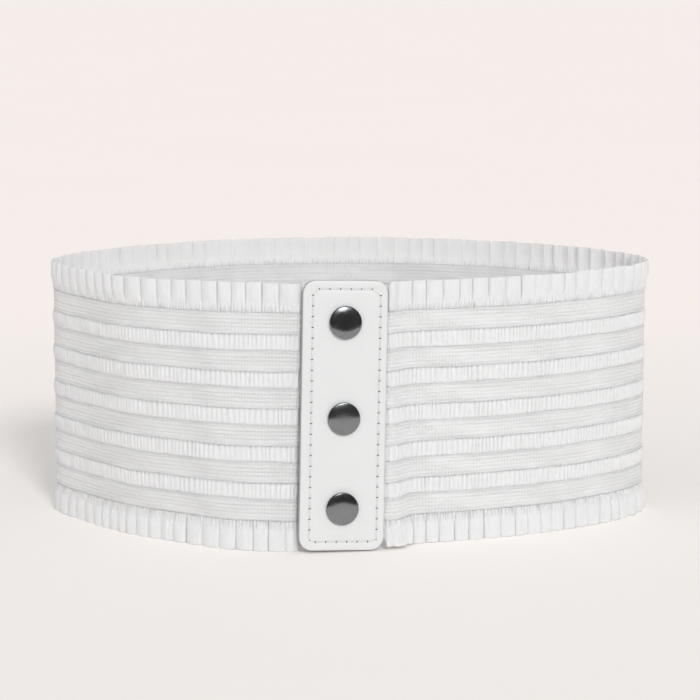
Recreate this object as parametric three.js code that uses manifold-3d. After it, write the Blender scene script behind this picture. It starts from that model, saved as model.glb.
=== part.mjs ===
// Elastic stretch belt, closed in front with a snap tab and standing on its lower hem.
// Millimetres, +Z up. The tab faces -Y and the belt's long way runs along X.
import * as THREE from "three";
import * as BufferGeometryUtils from "three/addons/utils/BufferGeometryUtils.js";
import Module from "manifold-3d";

// The loop, measured at the middle of the band's thickness
const beltHeight = 102;
const halfWidth = 118.6;
const halfDepth = 79;

// The stripes of the web, from hem to hem
const elasticStripes = 6;
const ruffleHeight = 11.3;
const gatheredHeight = 5.4;
const elasticThickness = 1.2;
const gatheredThickness = 2.2;
const ruffleThickness = 1.0;
const puffRise = 1.2;

// The pleats of the two ruffles
const pleatPitch = 6.6;
const pleatDepth = 1.6;
const ruffleFlare = 1.0;
const gatherRise = 2.8;
const gatherFold = 0.5;
const columnsPerPleat = 3;
const hemColumnsPerBandColumn = 4;

// The closure: an outer tab on the right end of the web, snapped over an under tab on the left end
const tabWidth = 32.5;
const tabHeight = 102.4;
const tabCorner = 5;
const tabCornerSegments = 5;
const tabLayer = 0.8;
const tabEdgeRounding = 0.35;
const tabFloorGap = 0.7;
const underTabWidth = 24;
const underTabHeight = 100;
const tabSpacing = 4.6;
const tabYaw = THREE.MathUtils.degToRad(10.5);
const tabRoll = THREE.MathUtils.degToRad(1.7);
const tabLean = THREE.MathUtils.degToRad(3.5);
const tabSideShift = -1.7;
const tabForward = 4;

// The web's ends inside the tabs
const tongueThickness = 1.0;
const tongueLength = 7.5;
const pocketDepth = 9;
const pocketMargin = 2.8;
const tongueHeightPlay = 0.8;
const exitLength = 1;
const settleLength = 2.8;

// The snaps
const capRadius = 6.25;
const capHeight = 1.7;
const postRadius = 1.6;
const socketRadius = 5.6;
const socketPlate = 0.6;
const socketWall = 2.7;
const ballHeight = 2.3;
const ballWall = 0.7;
const studRadius = 5.2;
const studFlange = 0.7;
const eyeletRadius = 4.8;
const eyeletFlange = 0.8;
const eyeletPostRadius = 1.2;
const capSides = 24;
const hiddenSides = 10;

const clearance = 0.3;

const routeDivisions = 4000;
const mergeDistance = 1e-4;

// Where the snaps sit on the tab, as shares of its height from the bottom
const snapRows = [
  { place: "upper", height: 0.846 },
  { place: "middle", height: 0.491 },
  { place: "lower", height: 0.157 },
];

// The loop seen from above, from the right of the tab round the back to its left.
// side and depth are shares of halfWidth and halfDepth; lean is the outward slope of the wall.
const stations = [
  { side: 0.2, depth: -0.89, lean: -0.02 },
  { side: 0.33, depth: -0.835, lean: 0 },
  { side: 0.64, depth: -0.635, lean: 0 },
  { side: 0.87, depth: -0.38, lean: 0 },
  { side: 0.988, depth: -0.14, lean: 0 },
  { side: 1.004, depth: 0.04, lean: 0 },
  { side: 0.915, depth: 0.34, lean: 0 },
  { side: 0.735, depth: 0.6, lean: 0 },
  { side: 0.45, depth: 0.865, lean: 0 },
  { side: 0.03, depth: 1.0, lean: 0 },
  { side: -0.36, depth: 0.92, lean: 0 },
  { side: -0.65, depth: 0.7, lean: 0 },
  { side: -0.87, depth: 0.4, lean: 0 },
  { side: -0.98, depth: 0.12, lean: 0 },
  { side: -0.996, depth: -0.09, lean: 0 },
  { side: -0.9, depth: -0.35, lean: 0.02 },
  { side: -0.69, depth: -0.72, lean: 0.03 },
  { side: -0.45, depth: -0.9, lean: -0.01 },
  { side: -0.32, depth: -0.94, lean: -0.05 },
];

const wasm = await Module();
wasm.setup();

const tabThickness = 2 * tabLayer + 2 * clearance + tongueThickness;
const underTabFace = tabThickness + tabSpacing;
// A rolled tab's edge reaches this much further along the web at its top and bottom
const rollReach = (tabHeight / 2) * Math.tan(tabRoll);
const straightLength = tongueLength + clearance + rollReach;

const fabric = new THREE.MeshStandardMaterial({ color: 0xf2f1ef, roughness: 0.85, metalness: 0 });
const leather = new THREE.MeshStandardMaterial({ color: 0xeeeded, roughness: 0.5, metalness: 0 });
const gunmetal = new THREE.MeshStandardMaterial({ color: 0x4c4b4d, roughness: 0.25, metalness: 1 });

const belt = new THREE.Group();
const closure = new THREE.Group();

function placeClosure() {
  closure.rotation.order = "ZYX";
  closure.rotation.set(-tabLean, tabRoll, tabYaw);
  closure.position.set(tabSideShift, -halfDepth - tabForward, tabFloorGap + tabHeight / 2);
  closure.updateMatrixWorld(true);
  belt.add(closure);
}

function addPiece(parent, name, geometry, material) {
  const piece = new THREE.Mesh(geometry, material);
  piece.name = name;
  parent.add(piece);
  return piece;
}

function toSolid(geometry) {
  const bare = geometry.clone();
  bare.deleteAttribute("normal");
  bare.deleteAttribute("uv");
  const merged = BufferGeometryUtils.mergeVertices(bare, mergeDistance);
  const vertProperties = new Float32Array(merged.attributes.position.array);
  const triVerts = new Uint32Array(merged.index.array);
  return new wasm.Manifold(new wasm.Mesh({ numProp: 3, vertProperties, triVerts }));
}

function toGeometry(solid) {
  const mesh = solid.getMesh();
  const geometry = new THREE.BufferGeometry();
  geometry.setAttribute("position", new THREE.BufferAttribute(mesh.vertProperties, 3));
  geometry.setIndex(new THREE.BufferAttribute(mesh.triVerts, 1));
  geometry.computeVertexNormals();
  return geometry;
}

// The web's middle line from above. Its third coordinate carries the wall's lean.
function makeRoute() {
  const leanScale = halfWidth;
  const at = (x, depth) => {
    const point = closure.localToWorld(new THREE.Vector3(x, depth, 0));
    return new THREE.Vector3(point.x, point.y, -Math.tan(tabLean) * leanScale);
  };
  const rightDepth = tabThickness / 2;
  const rightEdge = tabWidth / 2;
  const leftDepth = underTabFace + tabThickness / 2;
  const leftEdge = -underTabWidth / 2;
  const points = [
    at(rightEdge - tongueLength, rightDepth),
    at(rightEdge, rightDepth),
    at(rightEdge + rollReach + exitLength, rightDepth),
    ...stations.map((s) => new THREE.Vector3(s.side * halfWidth, s.depth * halfDepth, s.lean * leanScale)),
    at(leftEdge - rollReach - exitLength, leftDepth),
    at(leftEdge, leftDepth),
    at(leftEdge + tongueLength, leftDepth),
  ];
  const curve = new THREE.CatmullRomCurve3(points, false, "centripetal");
  curve.arcLengthDivisions = routeDivisions;
  const heightAt = (depth) => closure.localToWorld(new THREE.Vector3(0, depth, 0)).z;
  const middles = [heightAt(rightDepth), heightAt(leftDepth)];
  return { curve, length: curve.getLength(), leanScale, middles };
}

// One place along the web: its middle line's point, the way outward, the lean and its pivot's height.
function sampleRoute(route, distance) {
  const share = THREE.MathUtils.clamp(distance / route.length, 0, 1);
  const point = route.curve.getPointAt(share);
  const tangent = route.curve.getTangentAt(share);
  const outward = new THREE.Vector2(tangent.y, -tangent.x).normalize();
  const middle = THREE.MathUtils.lerp(...route.middles, share);
  return { distance, x: point.x, y: point.y, outward, lean: point.z / route.leanScale, middle };
}

// The section of the web as rows, down the outer face and up the inner one.
function makeRows() {
  const elasticHeight =
    (beltHeight - 2 * ruffleHeight - (elasticStripes - 1) * gatheredHeight) / elasticStripes;
  const hem = (z, side) => ({ z, side, thickness: ruffleThickness, fold: 1 });
  const gather = (z) => ({ z, side: 1, thickness: ruffleThickness, fold: gatherFold });
  const flat = (z, side) => ({ z, side, thickness: elasticThickness });
  const puff = (z, side) => ({ z, side, thickness: gatheredThickness });
  const face = (side, puffMarks) => {
    const rows = [hem(beltHeight, side)];
    let z = beltHeight - ruffleHeight;
    for (let stripe = 0; stripe < elasticStripes; stripe++) {
      rows.push(flat(z, side));
      z -= elasticHeight;
      rows.push(flat(z, side));
      if (stripe < elasticStripes - 1) {
        rows.push(...puffMarks.map((drop) => puff(z - drop, side)));
        z -= gatheredHeight;
      }
    }
    rows.push(hem(0, side));
    return rows;
  };
  const outer = face(1, [puffRise, gatheredHeight - puffRise]);
  const inner = face(-1, [gatheredHeight / 2]);
  outer.splice(1, 0, gather(beltHeight - ruffleHeight + gatherRise));
  outer.splice(-1, 0, gather(ruffleHeight - gatherRise));
  return [...outer, ...inner.reverse()];
}

// Distances along the web: both tongues, their way out to the full section, and even columns between.
function makeColumns(route) {
  const bandStart = straightLength + settleLength;
  const bandLength = route.length - 2 * bandStart;
  const pleats = Math.round(bandLength / pleatPitch);
  const count = Math.round((pleats * columnsPerPleat) / hemColumnsPerBandColumn);
  const even = Array.from({ length: count + 1 }, (_, i) => bandStart + (bandLength * i) / count);
  const distances = [0, straightLength, ...even, route.length - straightLength, route.length];
  return { distances, bandStart, bandLength, pleats };
}

function splitColumns(distances, parts) {
  const finer = [];
  for (let i = 0; i < distances.length - 1; i++) {
    for (let k = 0; k < parts; k++) {
      finer.push(THREE.MathUtils.lerp(distances[i], distances[i + 1], k / parts));
    }
  }
  finer.push(distances[distances.length - 1]);
  return finer;
}

// How far the web has settled to its full section: 0 inside a tab, 1 clear of it.
function settledShare(distance, route) {
  const fromEnd = Math.min(distance, route.length - distance);
  return THREE.MathUtils.smoothstep(fromEnd - straightLength, 0, settleLength);
}

function webPoint(row, place, columns, route) {
  const settled = settledShare(place.distance, route);
  const atRight = place.distance < route.length / 2;
  const tabSize = atRight ? tabHeight : underTabHeight;
  const tongueHeight = tabSize - 2 * (pocketMargin + tongueHeightPlay);
  const tongueZ = place.middle + (row.z / beltHeight - 0.5) * tongueHeight;
  const z = THREE.MathUtils.lerp(tongueZ, row.z, settled);
  const thickness = THREE.MathUtils.lerp(tongueThickness, row.thickness, settled);
  let shift = (row.side * thickness) / 2 + place.lean * (z - place.middle);
  if (row.fold) {
    const turn = ((place.distance - columns.bandStart) / columns.bandLength) * columns.pleats;
    const wave = Math.sin(2 * Math.PI * (turn + 0.5 / columnsPerPleat));
    shift += settled * row.fold * (ruffleFlare + pleatDepth * wave);
  }
  return new THREE.Vector3(place.x + place.outward.x * shift, place.y + place.outward.y * shift, z);
}

// Triangles between two neighbouring rows; the longer row has a whole number of columns per column.
function joinRows(upper, lower, index) {
  const fine = Math.max(upper.length, lower.length) - 1;
  const upperParts = fine / (upper.length - 1);
  const lowerParts = fine / (lower.length - 1);
  for (let i = 0; i < fine; i++) {
    const u0 = upper[Math.floor(i / upperParts)];
    const u1 = upper[Math.floor((i + 1) / upperParts)];
    const l0 = lower[Math.floor(i / lowerParts)];
    const l1 = lower[Math.floor((i + 1) / lowerParts)];
    if (l0 !== l1) {
      index.push(u0, l0, l1);
    }
    if (u0 !== u1) {
      index.push(u0, l1, u1);
    }
  }
}

function makeWeb(route) {
  const columns = makeColumns(route);
  const hemDistances = splitColumns(columns.distances, hemColumnsPerBandColumn);
  const positions = [];
  const index = [];
  const rings = makeRows().map((row) => {
    const distances = row.fold ? hemDistances : columns.distances;
    return distances.map((distance) => {
      const point = webPoint(row, sampleRoute(route, distance), columns, route);
      positions.push(point.x, point.y, point.z);
      return positions.length / 3 - 1;
    });
  });
  rings.forEach((ring, i) => joinRows(ring, rings[(i + 1) % rings.length], index));
  capEnd(rings.map((ring) => ring[0]), positions, index, sampleRoute(route, 0).outward, false);
  capEnd(rings.map((ring) => ring.at(-1)), positions, index, sampleRoute(route, route.length).outward, true);
  const geometry = new THREE.BufferGeometry();
  geometry.setAttribute("position", new THREE.Float32BufferAttribute(positions, 3));
  geometry.setIndex(index);
  geometry.computeVertexNormals();
  return geometry;
}

// Closes an end of the web over its section, laid out as thickness across and height.
function capEnd(ring, positions, index, outward, flip) {
  const outline = ring.map((id) => {
    const point = new THREE.Vector3().fromArray(positions, 3 * id);
    return new THREE.Vector2(point.x * outward.x + point.y * outward.y, point.z);
  });
  for (const [a, b, c] of THREE.ShapeUtils.triangulateShape(outline, [])) {
    index.push(...(flip ? [ring[a], ring[c], ring[b]] : [ring[a], ring[b], ring[c]]));
  }
}

function roundedRectangle(width, height, corner) {
  const x = width / 2;
  const y = height / 2;
  const shape = new THREE.Shape();
  shape.moveTo(-x + corner, -y);
  shape.lineTo(x - corner, -y);
  shape.absarc(x - corner, -y + corner, corner, -Math.PI / 2, 0);
  shape.lineTo(x, y - corner);
  shape.absarc(x - corner, y - corner, corner, 0, Math.PI / 2);
  shape.lineTo(-x + corner, y);
  shape.absarc(-x + corner, y - corner, corner, Math.PI / 2, Math.PI);
  shape.lineTo(-x, -y + corner);
  shape.absarc(-x + corner, -y + corner, corner, Math.PI, 1.5 * Math.PI);
  return shape;
}

// A tab of two leather layers, sewn round a pocket for the web's tongue and pierced for the snaps.
// opening is 1 where the pocket opens to the right and -1 to the left; face is the depth of its front.
function makeTab(width, height, opening, face, holeRadius) {
  const block = new THREE.ExtrudeGeometry(
    roundedRectangle(width - 2 * tabEdgeRounding, height - 2 * tabEdgeRounding, tabCorner - tabEdgeRounding),
    {
      depth: tabThickness - 2 * tabEdgeRounding,
      bevelThickness: tabEdgeRounding,
      bevelSize: tabEdgeRounding,
      bevelSegments: 1,
      curveSegments: tabCornerSegments,
    },
  );
  block.translate(0, 0, tabEdgeRounding - tabThickness);
  block.rotateX(Math.PI / 2);
  block.translate(0, face, 0);
  let tab = toSolid(block);
  // Cuts run this far past the faces that they open
  const overrun = 1;
  const pocketThickness = tabThickness - 2 * tabLayer;
  const pocket = new THREE.BoxGeometry(pocketDepth + overrun, pocketThickness, height - 2 * pocketMargin);
  pocket.translate(
    opening * (width / 2 - pocketDepth / 2 + overrun / 2),
    face + tabThickness / 2,
    0,
  );
  tab = tab.subtract(toSolid(pocket));
  for (const row of snapRows) {
    const hole = new THREE.CylinderGeometry(holeRadius, holeRadius, tabThickness + 2 * overrun, hiddenSides);
    hole.translate(0, face + tabThickness / 2, snapHeight(row));
    tab = tab.subtract(toSolid(hole));
  }
  return toGeometry(tab);
}

// Height of a snap in the closure's frame, whose zero is the middle of the outer tab.
function snapHeight(row) {
  return (row.height - 0.5) * tabHeight;
}

// A turned part from [radius, depth] pairs, depth counted from the face of the outer tab inward.
function turned(profile, sides) {
  const points = profile.map(([radius, depth]) => new THREE.Vector2(radius, depth));
  return new THREE.LatheGeometry(points, sides);
}

const socketFront = tabThickness + clearance;
const socketBack = underTabFace - 2 * clearance - studFlange;
const studBack = underTabFace - clearance;
const studFront = studBack - studFlange;
const ballFront = socketFront + socketPlate + clearance;
const ballRadius = socketWall - clearance;
const eyeletFront = underTabFace + tabThickness + clearance;
const studBore = eyeletPostRadius + clearance;
const studBoreFront = ballFront + ballWall;

function capProfile() {
  return [
    [0, -clearance - capHeight],
    [0.62 * capRadius, -clearance - 0.92 * capHeight],
    [0.88 * capRadius, -clearance - 0.68 * capHeight],
    [capRadius, -clearance - 0.4 * capHeight],
    [0.97 * capRadius, -clearance],
    [postRadius, -clearance],
    [postRadius, socketFront + socketPlate],
    [0, socketFront + socketPlate],
  ];
}

function socketProfile() {
  return [
    [postRadius + clearance, socketFront],
    [0.9 * socketRadius, socketFront],
    [socketRadius, socketFront + socketPlate],
    [0.85 * socketRadius, socketBack],
    [socketWall, socketBack],
    [socketWall, socketFront + socketPlate],
    [postRadius + clearance, socketFront + socketPlate],
    [postRadius + clearance, socketFront],
  ];
}

function studProfile() {
  return [
    [0, ballFront],
    [0.8 * ballRadius, ballFront],
    [ballRadius, ballFront + 0.4 * ballHeight],
    [0.86 * ballRadius, studFront],
    [studRadius, studFront],
    [studRadius, studBack],
    [studBore, studBack],
    [studBore, studBoreFront],
    [0, studBoreFront],
  ];
}

function eyeletProfile() {
  return [
    [0, studBoreFront + clearance],
    [eyeletPostRadius, studBoreFront + clearance],
    [eyeletPostRadius, eyeletFront],
    [eyeletRadius, eyeletFront],
    [0.85 * eyeletRadius, eyeletFront + eyeletFlange],
    [0, eyeletFront + eyeletFlange],
  ];
}

placeClosure();
addPiece(belt, "elastic_web", makeWeb(makeRoute()), fabric);
addPiece(
  closure,
  "outer_tab",
  makeTab(tabWidth, tabHeight, 1, 0, postRadius + clearance),
  leather,
);
addPiece(
  closure,
  "under_tab",
  makeTab(underTabWidth, underTabHeight, -1, underTabFace, eyeletPostRadius + clearance),
  leather,
);
for (const row of snapRows) {
  const parts = [
    { name: "snap_cap", profile: capProfile(), sides: capSides },
    { name: "snap_socket", profile: socketProfile(), sides: hiddenSides },
    { name: "snap_stud", profile: studProfile(), sides: hiddenSides },
    { name: "snap_eyelet", profile: eyeletProfile(), sides: hiddenSides },
  ];
  for (const part of parts) {
    const piece = addPiece(closure, `${part.name}_${row.place}`, turned(part.profile, part.sides), gunmetal);
    piece.position.z = snapHeight(row);
  }
}

// The origin is the middle of the belt's footprint.
belt.updateMatrixWorld(true);
const reach = new THREE.Box3().setFromObject(belt, true);
const middle = reach.getCenter(new THREE.Vector3());
belt.position.set(-middle.x, -middle.y, 0);
belt.updateMatrixWorld(true);

export default belt;
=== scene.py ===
"""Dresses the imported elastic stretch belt: cloth, leatherette, stitching, snaps and a plain stage."""

import math

import bmesh
import bpy
import numpy as np
from mathutils import Euler, Matrix, Vector


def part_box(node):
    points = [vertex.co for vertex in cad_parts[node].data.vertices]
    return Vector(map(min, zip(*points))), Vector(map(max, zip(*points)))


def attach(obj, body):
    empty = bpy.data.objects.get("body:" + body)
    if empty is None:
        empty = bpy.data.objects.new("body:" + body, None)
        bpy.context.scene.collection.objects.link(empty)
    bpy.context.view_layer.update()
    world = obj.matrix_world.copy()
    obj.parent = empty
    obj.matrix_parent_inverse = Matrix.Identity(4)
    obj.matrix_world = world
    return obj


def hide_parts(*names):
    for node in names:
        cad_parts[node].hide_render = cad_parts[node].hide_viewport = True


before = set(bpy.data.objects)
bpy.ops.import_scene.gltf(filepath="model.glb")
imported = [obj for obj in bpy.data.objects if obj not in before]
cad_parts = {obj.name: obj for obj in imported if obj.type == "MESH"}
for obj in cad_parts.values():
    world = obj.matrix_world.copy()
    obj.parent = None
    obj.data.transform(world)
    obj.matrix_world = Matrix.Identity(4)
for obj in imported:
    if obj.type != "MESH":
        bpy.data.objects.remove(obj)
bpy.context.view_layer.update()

bl_info = {
    "name": "Elastic Stretch Belt",
    "version": (1, 0, 0),
    "blender": (4, 5, 0),
    "location": "3D View > Sidebar > Belt",
    "description": "Makes a ruffled elastic belt with a snapped leatherette tab around its packed model",
    "category": "Object",
}

MM = 0.001

# Where the loop runs, from the right of the tab round the back to its left: shares of the half width
# and the half depth, and the outward slope of the wall. The same stations as in the part's source.
STATIONS = (
    (0.2, -0.89, -0.02),
    (0.33, -0.835, 0),
    (0.64, -0.635, 0),
    (0.87, -0.38, 0),
    (0.988, -0.14, 0),
    (1.004, 0.04, 0),
    (0.915, 0.34, 0),
    (0.735, 0.6, 0),
    (0.45, 0.865, 0),
    (0.03, 1.0, 0),
    (-0.36, 0.92, 0),
    (-0.65, 0.7, 0),
    (-0.87, 0.4, 0),
    (-0.98, 0.12, 0),
    (-0.996, -0.09, 0),
    (-0.9, -0.35, 0.02),
    (-0.69, -0.72, 0.03),
    (-0.45, -0.9, -0.01),
    (-0.32, -0.94, -0.05),
)
HALF_WIDTH = 118.6 * MM
HALF_DEPTH = 79 * MM

# The closure, as in the part's source
TAB_SIZE = (32.5 * MM, 102.4 * MM)
UNDER_TAB_SIZE = (24 * MM, 100 * MM)
TAB_THICKNESS = 3.2 * MM
TAB_TURN = Euler((math.radians(-3.5), math.radians(1.7), math.radians(10.5)), "XYZ")
TAB_SPOT = (-1.7 * MM, -83 * MM)
UNDER_TAB_FACE = 7.8 * MM
TONGUE_LENGTH = 7.5 * MM
TONGUE_MARGIN = 3.6 * MM
POCKET_DEPTH = 9 * MM
POCKET_MARGIN = 2.8 * MM
CLEARANCE = 0.3 * MM
EXIT_LENGTH = 1 * MM
SNAP_ROWS = {"upper": 0.846, "middle": 0.491, "lower": 0.157}

# How far from a tab's edge the web has opened out to its full section
SETTLE_LENGTH = 2 * MM

# How far the web swells beside the under tab, where that is reached, and between where it fades
SWELL = 4.6 * MM
SWELL_RISE = 4.4 * MM
SWELL_FADE = (18 * MM, 60 * MM)


# Settings


class BELT_PG_web(bpy.types.PropertyGroup):
    height: bpy.props.FloatProperty(
        name="Web height", description="From hem to hem", default=0.102, min=0.03, unit="LENGTH"
    )
    ruffle_height: bpy.props.FloatProperty(
        name="Ruffle height", description="Height of each pleated hem",
        default=0.0113, min=0.004, unit="LENGTH"
    )
    gathered_height: bpy.props.FloatProperty(
        name="Gathered height", description="Height of each puffed stripe",
        default=0.0054, min=0.002, unit="LENGTH"
    )
    elastic_stripes: bpy.props.IntProperty(
        name="Elastic stripes", description="Number of flat woven stripes", default=6, min=2, max=12
    )
    elastic_thickness: bpy.props.FloatProperty(
        name="Elastic thickness", description="Thickness of the flat stripes",
        default=0.0011, unit="LENGTH"
    )
    cloth_thickness: bpy.props.FloatProperty(
        name="Cloth thickness", description="Thickness of ruffles and gathered stripes",
        default=0.00045, unit="LENGTH"
    )
    pleat_pitch: bpy.props.FloatProperty(
        name="Pleat pitch", description="Length of web that each pleat takes",
        default=0.0064, unit="LENGTH"
    )
    pleat_depth: bpy.props.FloatProperty(
        name="Pleat depth", description="Half the depth of the pleats at the hem",
        default=0.00105, unit="LENGTH"
    )
    gather_pitch: bpy.props.FloatProperty(
        name="Gather pitch", description="Length of web that each small gather takes",
        default=0.0019, unit="LENGTH"
    )
    gather_depth: bpy.props.FloatProperty(
        name="Gather depth", description="Half the depth of the small gathers",
        default=0.00042, unit="LENGTH"
    )
    cloth_colour: bpy.props.FloatVectorProperty(
        name="Cloth colour", description="White of the web", subtype="COLOR", size=3,
        default=(0.728, 0.731, 0.738)
    )


class BELT_PG_closure(bpy.types.PropertyGroup):
    corner: bpy.props.FloatProperty(
        name="Tab corner", description="Radius of the tab's corners", default=0.005, unit="LENGTH"
    )
    stitch_inset: bpy.props.FloatProperty(
        name="Stitch inset", description="From the tab's edge to its seam", default=0.00328, unit="LENGTH"
    )
    stitch_pitch: bpy.props.FloatProperty(
        name="Stitch pitch", description="From needle hole to needle hole", default=0.00404, unit="LENGTH"
    )
    thread_thickness: bpy.props.FloatProperty(
        name="Thread thickness", description="Thickness of the sewing thread",
        default=0.00045, unit="LENGTH"
    )
    leather_colour: bpy.props.FloatVectorProperty(
        name="Leatherette colour", description="White of the tabs", subtype="COLOR", size=3,
        default=(0.68, 0.685, 0.69)
    )
    metal_colour: bpy.props.FloatVectorProperty(
        name="Gunmetal colour", description="Reflection of the snaps", subtype="COLOR", size=3,
        default=(0.26, 0.268, 0.275)
    )


class BELT_PG_stage(bpy.types.PropertyGroup):
    floor_colour: bpy.props.FloatVectorProperty(
        name="Floor colour", description="Pale floor under the belt", subtype="COLOR", size=3,
        default=(0.93, 0.895, 0.865)
    )
    distance_colour: bpy.props.FloatVectorProperty(
        name="Distance colour", description="Floor far behind the belt", subtype="COLOR", size=3,
        default=(0.97, 0.9, 0.865)
    )
    horizon_colour: bpy.props.FloatVectorProperty(
        name="Horizon colour", description="Seen past the floor's edge", subtype="COLOR", size=3,
        default=(0.91, 0.85, 0.815)
    )
    sky_strength: bpy.props.FloatProperty(
        name="Ambient light", description="Strength of the even light from all round",
        default=0.595, min=0
    )
    key_strength: bpy.props.FloatProperty(
        name="Key light", description="Strength of the broad light from the front right",
        default=1.5, min=0
    )
    fill_strength: bpy.props.FloatProperty(
        name="Fill light", description="Strength of the broad light from the front left",
        default=0.15, min=0
    )
    key_softness: bpy.props.FloatProperty(
        name="Key softness", description="How wide the key light is",
        default=math.radians(11), subtype="ANGLE"
    )
    glint_power: bpy.props.FloatProperty(
        name="Glint light", description="Power of the small light that glints on the snaps",
        default=0.8, min=0, unit="POWER"
    )
    lens: bpy.props.FloatProperty(
        name="Lens", description="Focal length of the camera", default=137.7, min=20, unit="CAMERA"
    )


# The web's route


def smoothstep(value, low, high):
    share = np.clip((value - low) / (high - low), 0, 1)
    return share * share * (3 - 2 * share)


def closure_matrix():
    """The closure's frame: x to the right, y inward from the outer tab's face, z up from its middle."""
    low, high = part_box("outer_tab")
    centre = (Vector(low) + Vector(high)) / 2
    turn = TAB_TURN.to_matrix()
    return Matrix.Translation(centre - turn @ Vector((0, TAB_THICKNESS / 2, 0))) @ turn.to_4x4()


def curve_through(points, per_span=60):
    """A centripetal Catmull-Rom curve through the points, as dense samples."""
    ends = np.vstack([2 * points[0] - points[1], points, 2 * points[-1] - points[-2]])
    share = np.linspace(0, 1, per_span, endpoint=False)[:, None]
    spans = []
    for before, start, end, after in zip(ends, ends[1:], ends[2:], ends[3:]):
        a, b, c = (np.linalg.norm(q - p) ** 0.5 for p, q in ((before, start), (start, end), (end, after)))
        leave = ((start - before) / a - (end - before) / (a + b) + (end - start) / b) * b
        arrive = ((end - start) / b - (after - start) / (b + c) + (after - end) / c) * b
        square, cube = 3 * (end - start) - 2 * leave - arrive, 2 * (start - end) + leave + arrive
        spans.append(start + share * (leave + share * (square + share * cube)))
    return np.vstack([*spans, points[-1:]])


class Route:
    """The middle line of the web from above, from its tongue in the outer tab to that in the under tab."""

    def __init__(self, web):
        closure = closure_matrix()
        shift = closure.translation - Vector((*TAB_SPOT, closure.translation.z))
        roll_reach = TAB_SIZE[1] / 2 * math.tan(TAB_TURN.y)
        tab_lean = -math.tan(-TAB_TURN.x) * HALF_WIDTH

        def at(x, depth):
            point = closure @ Vector((x, depth, 0))
            return (point.x, point.y, tab_lean)

        right, left = TAB_SIZE[0] / 2, -UNDER_TAB_SIZE[0] / 2
        near, far = TAB_THICKNESS / 2, UNDER_TAB_FACE + TAB_THICKNESS / 2
        points = [at(x, near) for x in (right - TONGUE_LENGTH, right, right + roll_reach + EXIT_LENGTH)]
        points += [
            (side * HALF_WIDTH + shift.x, depth * HALF_DEPTH + shift.y, lean * HALF_WIDTH)
            for side, depth, lean in STATIONS
        ]
        points += [at(x, far) for x in (left - roll_reach - EXIT_LENGTH, left, left + TONGUE_LENGTH)]
        curve = curve_through(np.array(points))
        steps = np.linalg.norm(np.diff(curve[:, :2], axis=0), axis=1)
        self.distance = np.concatenate([[0], np.cumsum(steps)])
        self.length = self.distance[-1]
        self.x, self.y, self.lean = curve[:, 0], curve[:, 1], curve[:, 2] / HALF_WIDTH
        along_x, along_y = np.gradient(self.x, self.distance), np.gradient(self.y, self.distance)
        size = np.hypot(along_x, along_y)
        self.out_x, self.out_y = along_y / size, -along_x / size
        self.middles = [(closure @ Vector((0, depth, 0))).z for depth in (near, far)]
        self.height, self.ruffle = web.height, web.ruffle_height

    def from_edge(self, distance, up):
        """Length of web between a point and the slanting edge of the nearer tab."""
        slant = (up - self.middles[0]) * math.tan(TAB_TURN.y)
        at_first = distance < self.length / 2
        from_end = np.where(at_first, distance - slant, self.length - distance + slant)
        return from_end - TONGUE_LENGTH - CLEARANCE

    def settled(self, distance, up):
        """0 where the web is flat inside a tab, 1 where it has its full section."""
        return smoothstep(self.from_edge(distance, up), 0, SETTLE_LENGTH)

    def lay(self, distance, up, out):
        """Points of the web: distance along it, height over the lower hem and way out of its middle."""
        settled = self.settled(distance, up)
        share = np.clip(distance / self.length, 0, 1)
        middle = self.middles[0] + (self.middles[1] - self.middles[0]) * share
        tab_height = np.where(distance < self.length / 2, TAB_SIZE[1], UNDER_TAB_SIZE[1])
        reach = tab_height / 2 - TONGUE_MARGIN
        # Inside the tabs only the two ruffles are squeezed, so the stripes run on straight
        lower = middle - reach + up * (self.ruffle - middle + reach) / self.ruffle
        from_top = self.height - up
        upper = middle + reach - from_top * (middle + reach - self.height + self.ruffle) / self.ruffle
        tongue = np.where(up < self.ruffle, lower, np.where(from_top < self.ruffle, upper, up))
        z = tongue + (up - tongue) * settled
        # By the under tab the web swells towards the back of the outer one
        apart = np.where(distance > self.length / 2, self.from_edge(distance, up), 0)
        swell = SWELL * smoothstep(apart, 0, SWELL_RISE) * (1 - smoothstep(apart, *SWELL_FADE))
        shift = out * settled + swell + np.interp(distance, self.distance, self.lean) * (z - middle)
        x, y, out_x, out_y = (
            np.interp(distance, self.distance, values) for values in (self.x, self.y, self.out_x, self.out_y)
        )
        return np.column_stack([x + out_x * shift, y + out_y * shift, z])


# Making pieces


def finish_piece(bm, name, material, replaces=(), smooth=True):
    """A bmesh becomes a piece that rides on the belt's only body."""
    mesh = bpy.data.meshes.new(name)
    bm.to_mesh(mesh)
    bm.free()
    mesh.polygons.foreach_set("use_smooth", [smooth] * len(mesh.polygons))
    piece = bpy.data.objects.new(name, mesh)
    bpy.context.scene.collection.objects.link(piece)
    for entry in material if isinstance(material, (list, tuple)) else [material]:
        mesh.materials.append(entry)
    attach(piece, "root")
    if replaces:
        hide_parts(*replaces)
    return piece


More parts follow.
